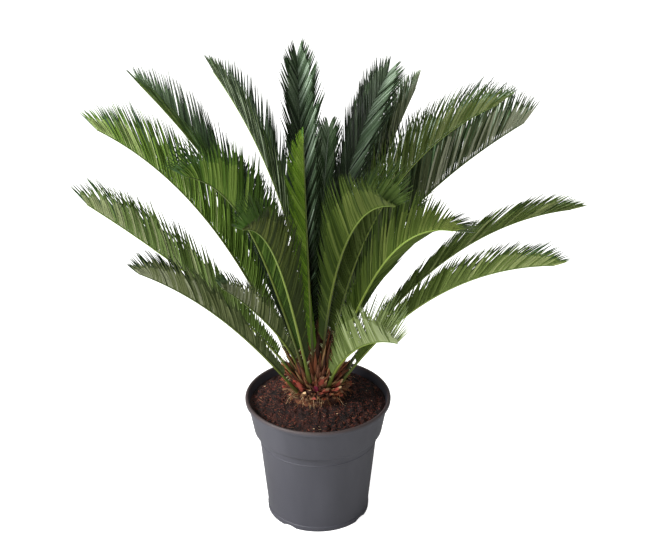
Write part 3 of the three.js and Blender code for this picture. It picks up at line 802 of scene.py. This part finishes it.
def pottingMix():
    # Damp bark and peat: crumbs of dark and red brown, quite dull, with a faint damp sheen.
    material, tree, shader = newMaterial("dampBarkMix", Roughness=0.85, IOR=1.4)
    place = ownPlace(tree)
    crumbs = addNode(tree, "ShaderNodeTexVoronoi", {"Vector": place, "Scale": 420.0})
    clods = addNoise(tree, place, 45.0, Detail=8.0, Roughness=0.75)
    colour = addRamp(tree, clods, [
        (0.32, "#0a0504"), (0.46, "#1a0b08"), (0.56, "#2e140e"), (0.7, "#4a2016")])
    tree.links.new(colour, shader.inputs["Base Color"])
    addBump(tree, shader, addMath(tree, "ADD", crumbs.outputs["Distance"], clods), 0.9, 0.0015)
    return material


soilBed = makeSoil()
print("soil bed made")

# Chips of bark and coir lie all over the soil, scattered by Geometry Nodes with a fixed seed.
chipKinds = {
    "barkChips": {"colour": "#421e14", "roughness": 0.85, "density": 52000,
                  "size": (0.0042, 0.0016, 0.0011), "seed": 61},
    "redBarkChips": {"colour": "#622c1e", "roughness": 0.8, "density": 26000,
                     "size": (0.0046, 0.0013, 0.0009), "seed": 62},
    "darkCrumbs": {"colour": "#150b08", "roughness": 0.9, "density": 40000,
                   "size": (0.0026, 0.0022, 0.0018), "seed": 63},
    "coirFibres": {"colour": "#7c4e36", "roughness": 0.8, "density": 12000,
                   "size": (0.0085, 0.00035, 0.00035), "seed": 64},
    "paleChips": {"colour": "#b79672", "roughness": 0.75, "density": 1500,
                  "size": (0.0042, 0.0011, 0.0008), "seed": 65},
}
chipReach = 0.0835                  # keeps the chips off the pot's wall


def chipTree(name):
    tree = bpy.data.node_groups.new(name + "Nodes", "GeometryNodeTree")
    sockets = tree.interface
    for label, kind in (("Geometry", "Geometry"), ("Density", "Float"), ("Chip size", "Vector"),
                        ("Reach", "Float"), ("Seed", "Int"), ("Finish", "Material")):
        sockets.new_socket(label, in_out="INPUT", socket_type="NodeSocket" + kind)
    sockets.new_socket("Geometry", in_out="OUTPUT", socket_type="NodeSocketGeometry")
    given = addNode(tree, "NodeGroupInput").outputs
    place = addNode(tree, "GeometryNodeInputPosition").outputs["Position"]
    flat = addNode(tree, "ShaderNodeVectorMath", {0: place, 1: (1.0, 1.0, 0.0)},
                   operation="MULTIPLY")
    away = addNode(tree, "ShaderNodeVectorMath", {0: flat.outputs["Vector"]}, operation="LENGTH")
    inside = addMath(tree, "LESS_THAN", away.outputs["Value"], given["Reach"])
    normal = addNode(tree, "GeometryNodeInputNormal").outputs["Normal"]
    upright = addNode(tree, "ShaderNodeSeparateXYZ", {0: normal}).outputs["Z"]
    allowed = addMath(tree, "MULTIPLY", inside, addMath(tree, "GREATER_THAN", upright, 0.5))
    density = addMath(tree, "MULTIPLY", allowed, given["Density"])
    scatter = addNode(tree, "GeometryNodeDistributePointsOnFaces",
                      {"Mesh": given["Geometry"], "Density": density, "Seed": given["Seed"]})
    ball = addNode(tree, "GeometryNodeMeshIcoSphere", {"Radius": 0.5, "Subdivisions": 1})
    spin = addNode(tree, "FunctionNodeRandomValue",
                   {0: (-0.5, -0.5, 0.0), 1: (0.5, 0.5, 2 * math.pi), "Seed": given["Seed"]},
                   data_type="FLOAT_VECTOR")
    grow = addNode(tree, "FunctionNodeRandomValue", {2: 0.5, 3: 1.5, "Seed": given["Seed"]},
                   data_type="FLOAT")
    size = addNode(tree, "ShaderNodeVectorMath",
                   {0: given["Chip size"], "Scale": grow.outputs[1]}, operation="SCALE")
    placed = addNode(tree, "GeometryNodeInstanceOnPoints",
                     {"Points": scatter.outputs["Points"], "Instance": ball.outputs["Mesh"],
                      "Rotation": spin.outputs[0], "Scale": size.outputs["Vector"]})
    real = addNode(tree, "GeometryNodeRealizeInstances", {"Geometry": placed.outputs["Instances"]})
    corner = addNode(tree, "GeometryNodeInputPosition").outputs["Position"]
    noise = addNode(tree, "ShaderNodeTexNoise", {"Vector": corner, "Scale": 700.0, "Detail": 1.0})
    shaken = addNode(tree, "ShaderNodeVectorMath", {0: noise.outputs["Color"], 1: (0.5, 0.5, 0.5)},
                     operation="SUBTRACT")
    offset = addNode(tree, "ShaderNodeVectorMath", {0: shaken.outputs["Vector"], "Scale": 0.0012},
                     operation="SCALE")
    rough = addNode(tree, "GeometryNodeSetPosition",
                    {"Geometry": real.outputs["Geometry"], "Offset": offset.outputs["Vector"]})
    skinned = addNode(tree, "GeometryNodeSetMaterial",
                      {"Geometry": rough.outputs["Geometry"], "Material": given["Finish"]})
    addNode(tree, "NodeGroupOutput", {"Geometry": skinned.outputs["Geometry"]})
    return tree


def makeChips(name, look):
    values = {"Density": look["density"], "Chip size": look["size"], "Reach": chipReach,
              "Seed": look["seed"],
              "Finish": plainSkin(name + "Skin", look["colour"], look["roughness"])}
    helper = putInScene(name + "Helper", soilBed.data.copy())
    modifier = helper.modifiers.new("scatter", "NODES")
    modifier.node_group = chipTree(name)
    for socket in modifier.node_group.interface.items_tree:
        if socket.name in values:
            modifier[socket.identifier] = values[socket.name]
    graph = bpy.context.evaluated_depsgraph_get()
    mesh = bpy.data.meshes.new_from_object(helper.evaluated_get(graph))
    mesh.name = name
    bpy.data.objects.remove(helper)
    finishPiece(putInScene(name, mesh), "soil")
    print(name, "made with", len(mesh.polygons), "faces")


for chipName, chipLook in chipKinds.items():
    makeChips(chipName, chipLook)

# The pot: a thin moulded nursery pot with a rolled lip, a band down to a shoulder and a foot ring.
pot = {
    "height": 170, "lipRadius": 95, "lipHeight": 7, "bandTopRadius": 91.5, "bandFootRadius": 84,
    "bandHeight": 48, "bodyTopRadius": 78, "footRadius": 66.5, "footProud": 0.8, "footHeight": 7,
    "wall": 1.8, "floor": 4, "around": 240, "ridgeBelowShoulder": 14, "ridgeProud": 0.5,
}
notch = {"count": 4, "heading": 236, "width": 18, "height": 2.5, "depth": 7}


def potProfile():                   # radius, height and the radius of the round at each corner
    top, foot, ring, wall = pot["height"], pot["footRadius"], pot["footHeight"], pot["wall"]
    lip, bandTop, bandFoot = pot["lipRadius"], pot["bandTopRadius"], pot["bandFootRadius"]
    body, shoulder = pot["bodyTopRadius"], top - pot["bandHeight"]
    lipFoot, ridge = top - pot["lipHeight"], shoulder - pot["ridgeBelowShoulder"]
    atRidge = foot + (body - foot) / (shoulder - 5 - ring) * (ridge - ring)
    return [
        (foot + pot["footProud"], 0, 0.8),
        (foot + pot["footProud"] + 0.4, ring - 1, 0.4),
        (foot + 0.3, ring, 0.4),
        (atRidge - 0.4, ridge - 1.2, 0.3),
        (atRidge + pot["ridgeProud"], ridge, 0.3),
        (atRidge - 0.1, ridge + 1.2, 0.3),
        (body, shoulder - 5, 3),
        (bandFoot - 2.4, shoulder - 0.4, 0.4),
        (bandFoot, shoulder + 0.8, 0.5),
        (bandTop, lipFoot, 0.6),
        (lip - 0.3, lipFoot + 0.6, 0.8),
        (lip, top - 2.5, 1.2),
        (lip - 1.6, top, 1.6),
        (lip - 4.2, top - 0.8, 1.2),
        (bandTop - wall, lipFoot - 1, 1),
        (bandFoot - wall, shoulder + 2, 1),
        (body - wall, shoulder - 4, 2),
        (foot + 0.6 - wall, pot["floor"], 1),
    ]


def rounded(profile, steps=4):      # each corner becomes a short curve between its two sides
    made = [np.array(profile[0][:2], float)]
    for before, corner, after in zip(profile, profile[1:], profile[2:]):
        at = np.array(corner[:2], float)
        back, on = np.array(before[:2]) - at, np.array(after[:2]) - at
        reach = min(corner[2], 0.45 * np.linalg.norm(back), 0.45 * np.linalg.norm(on))
        start, end = at + unit(back) * reach, at + unit(on) * reach
        for k in range(steps + 1):
            s = k / steps
            made.append((1 - s) ** 2 * start + 2 * s * (1 - s) * at + s ** 2 * end)
    made.append(np.array(profile[-1][:2], float))
    return np.array(made)


def makePot():
    batch = Batch()
    turn = fullTurn(pot["around"])
    seat = pot["footRadius"] - notch["depth"]
    rows = [(0.5, 0), (seat, 0), (seat, 0), (pot["footRadius"] - 0.6, 0)]
    rows += [tuple(p) for p in rounded(potProfile())] + [(0.5, pot["floor"])]
    arch = (notch["width"] ** 2 / 4 + notch["height"] ** 2) / (2 * notch["height"])
    step = 2 * np.pi / notch["count"]
    off = (turn - math.radians(notch["heading"]) + step / 2) % step - step / 2
    across = np.sin(off) * pot["footRadius"]
    lifted = np.sqrt(np.maximum(arch ** 2 - across ** 2, 0)) - (arch - notch["height"])
    lifted = np.where(np.abs(off) < 0.5, np.maximum(lifted, 0), 0)
    rings = []
    for k, (out, up) in enumerate(rows):            # the foot ring is lifted at each drain notch
        raised = np.maximum(up, lifted) if k >= 2 and up < notch["height"] + 1 else up
        rings.append(levelRing(out, raised, turn))
    batch.add(np.array(rings), ringFaces(len(rings), pot["around"]))
    shell = makeMesh("potShell", batch, [mouldedPolypropylene()], sharpAbove=40)
    finishPiece(shell, "pot_plastic", "pot")


def mouldedPolypropylene():
    # Recycled polypropylene, injection moulded: slate grey, satin, with faint flow marks and a lip
    # that potting dust has browned.
    material, tree, shader = newMaterial("mouldedPolypropylene", IOR=1.49)
    place = ownPlace(tree)
    stretched = addNode(tree, "ShaderNodeMapping", {"Vector": place, "Scale": (22.0, 22.0, 6.0)})
    flow = addNoise(tree, stretched.outputs["Vector"], 1.0, Detail=4.0)
    colour = addRamp(tree, flow, [(0.3, "#3d3d45"), (0.55, "#44444c"), (0.75, "#4c4c54")])
    height = addNode(tree, "ShaderNodeSeparateXYZ", {"Vector": place}).outputs["Z"]
    dusty = addNode(tree, "ShaderNodeMapRange",
                    {"Value": height, "From Min": 0.165, "From Max": 0.169, "To Max": 0.8})
    dusted = mixColours(tree, dusty.outputs["Result"], colour, linear("#40322e"))
    tree.links.new(dusted, shader.inputs["Base Color"])
    rough = addNode(tree, "ShaderNodeMapRange", {"Value": flow, "To Min": 0.48, "To Max": 0.62})
    tree.links.new(rough.outputs["Result"], shader.inputs["Roughness"])
    addBump(tree, shader, addNoise(tree, place, 900.0, Detail=2.0), 0.15, 0.0002)
    return material


makePot()
print("pot made")

# The stage: a white floor, soft light from the left and the camera where the photographer stood.
stageLook = {
    "floorSize": 12, "floorColour": "#c8c8c6", "floorGlow": 0.9, "sky": "#ffffff",
    "skyStrength": 0.32, "cameraAt": (0.0144, -1.7143, 1.2001), "pitchDown": 26.7,
    "focalPixels": 1530, "imageWidth": 658, "sensorWidth": 36,
}
lamps = {
    "keyLamp": {"at": (-2.1, -1.1, 1.9), "aim": (0, 0, 0.3), "size": 1.0, "power": 108},
    "fillLamp": {"at": (-0.9, -2.1, 0.4), "aim": (0, 0, 0.35), "size": 1.2, "power": 20},
    "topLamp": {"at": (0.0, 0.3, 2.5), "aim": (0, 0, 0.4), "size": 1.2, "power": 38},
}


def whiteFloor(look):               # glows to the camera only, and stays white under a dim sky
    material, tree, shader = newMaterial("paleFloor", Roughness=0.8)
    shader.inputs["Base Color"].default_value = linear(look["floorColour"])
    shader.inputs["Emission Color"].default_value = linear(look["sky"])
    seen = addNode(tree, "ShaderNodeLightPath").outputs["Is Camera Ray"]
    glow = addMath(tree, "MULTIPLY", seen, look["floorGlow"])
    tree.links.new(glow, shader.inputs["Emission Strength"])
    return material


def makeStage():
    look = stageLook
    half = look["floorSize"] / 2
    corners = [(-half, -half, 0), (half, -half, 0), (half, half, 0), (-half, half, 0)]
    mesh = bpy.data.meshes.new("floor")
    mesh.from_pydata(corners, [], [(0, 1, 2, 3)])
    mesh.materials.append(whiteFloor(look))
    putInScene("floor", mesh)
    world = bpy.data.worlds.new("studio")
    world.use_nodes = True
    tree, sky = world.node_tree, world.node_tree.nodes["Background"]
    sky.inputs["Color"].default_value = linear(look["sky"])
    seen = addNode(tree, "ShaderNodeLightPath").outputs["Is Camera Ray"]
    strength = addNode(tree, "ShaderNodeMapRange",
                       {"Value": seen, "To Min": look["skyStrength"], "To Max": 1.0})
    tree.links.new(strength.outputs["Result"], sky.inputs["Strength"])
    bpy.context.scene.world = world
    for name, lamp in lamps.items():
        light = bpy.data.lights.new(name, "AREA")
        light.size = lamp["size"]
        light.energy = lamp["power"]
        stand = putInScene(name, light)
        stand.location = lamp["at"]
        aim = Vector(lamp["aim"]) - Vector(lamp["at"])
        stand.rotation_euler = aim.to_track_quat("-Z", "Y").to_euler()
    lens = bpy.data.cameras.new("camera")
    lens.sensor_width = look["sensorWidth"]
    lens.lens = look["focalPixels"] / look["imageWidth"] * look["sensorWidth"]
    camera = putInScene("camera", lens)
    camera.location = look["cameraAt"]
    camera.rotation_euler = (math.radians(90 - look["pitchDown"]), 0, 0)
    bpy.context.scene.camera = camera
    bpy.context.scene.view_settings.view_transform = "Standard"


makeStage()
print("stage set")
